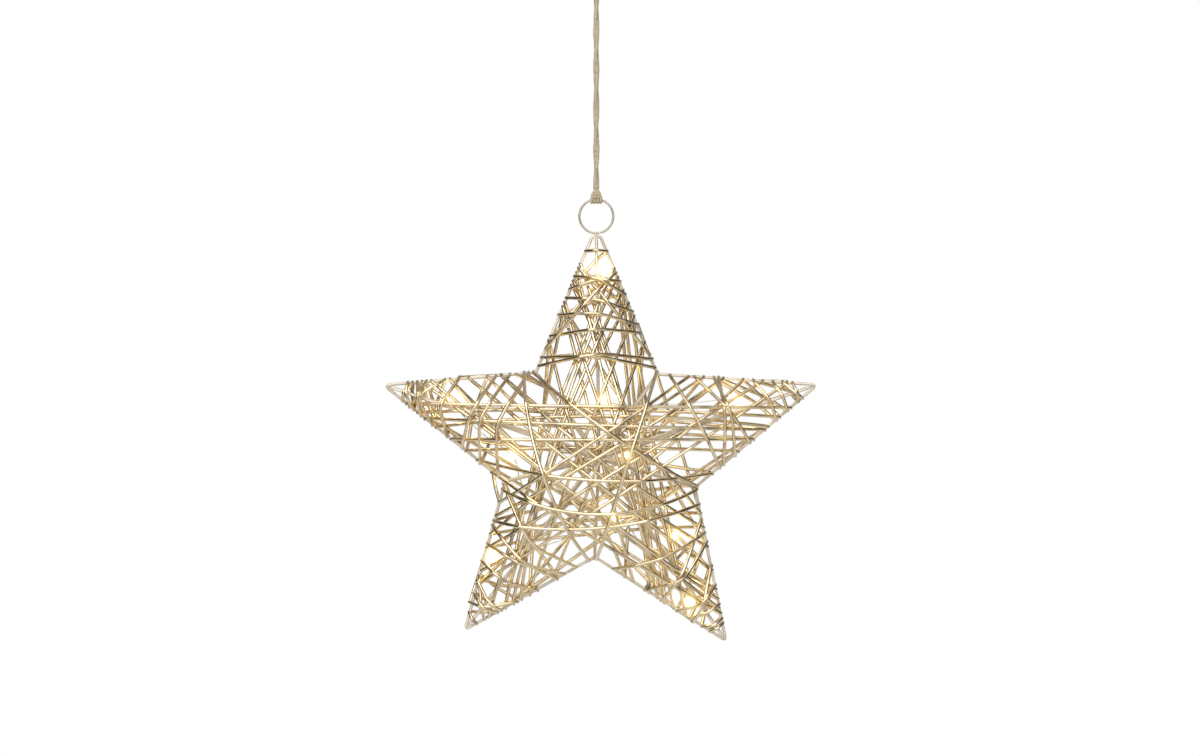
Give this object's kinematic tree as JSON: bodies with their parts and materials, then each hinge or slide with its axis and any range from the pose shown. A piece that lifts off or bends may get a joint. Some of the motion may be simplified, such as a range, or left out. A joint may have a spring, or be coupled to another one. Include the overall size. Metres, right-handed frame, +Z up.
{
  "type": "hanging lighted star",
  "caption": "Hanging five-pointed star of wound champagne-gold wire over a puffed wire frame, with small warm lights inside, a ring at the top tip and a jute rope with a hanging loop.",
  "frame": {"origin": "where a hook bears under the top of the rope's loop", "axes": "+Z up along the taut rope, -Y out of the star's front, +X to the right as seen from the front"},
  "size_m": [0.303, 0.0945, 0.4995],
  "materials": {
    "frame_wire": "matt champagne beige paint",
    "winding_wire": "bright champagne gold wire",
    "light_wire": "fine lacquered silver wire",
    "light_bead": "clear warm resin, lit",
    "ring_wire": "matt champagne beige paint",
    "jute": "natural jute, two strands twisted"
  },
  "bodies": {
    "root": {"frame_outline": "frame_wire", "frame_front_ribs": "frame_wire", "frame_back_ribs": "frame_wire", "body_winding_1": "winding_wire", "body_winding_2": "winding_wire", "body_winding_3": "winding_wire", "top_arm_winding": "winding_wire", "right_arm_winding": "winding_wire", "lower_right_arm_winding": "winding_wire", "lower_left_arm_winding": "winding_wire", "left_arm_winding": "winding_wire", "outer_body_winding": "winding_wire", "light_string_wire": "light_wire", "light_bead_1": "light_bead", "light_bead_2": "light_bead", "light_bead_3": "light_bead", "light_bead_4": "light_bead", "light_bead_5": "light_bead", "light_bead_6": "light_bead", "light_bead_7": "light_bead", "light_bead_8": "light_bead", "light_bead_9": "light_bead", "light_bead_10": "light_bead", "hanging_ring": "ring_wire", "rope": "jute", "rope_hitch": "jute", "rope_knot": "jute", "rope_loop": "jute"}
  },
  "joints": []
}
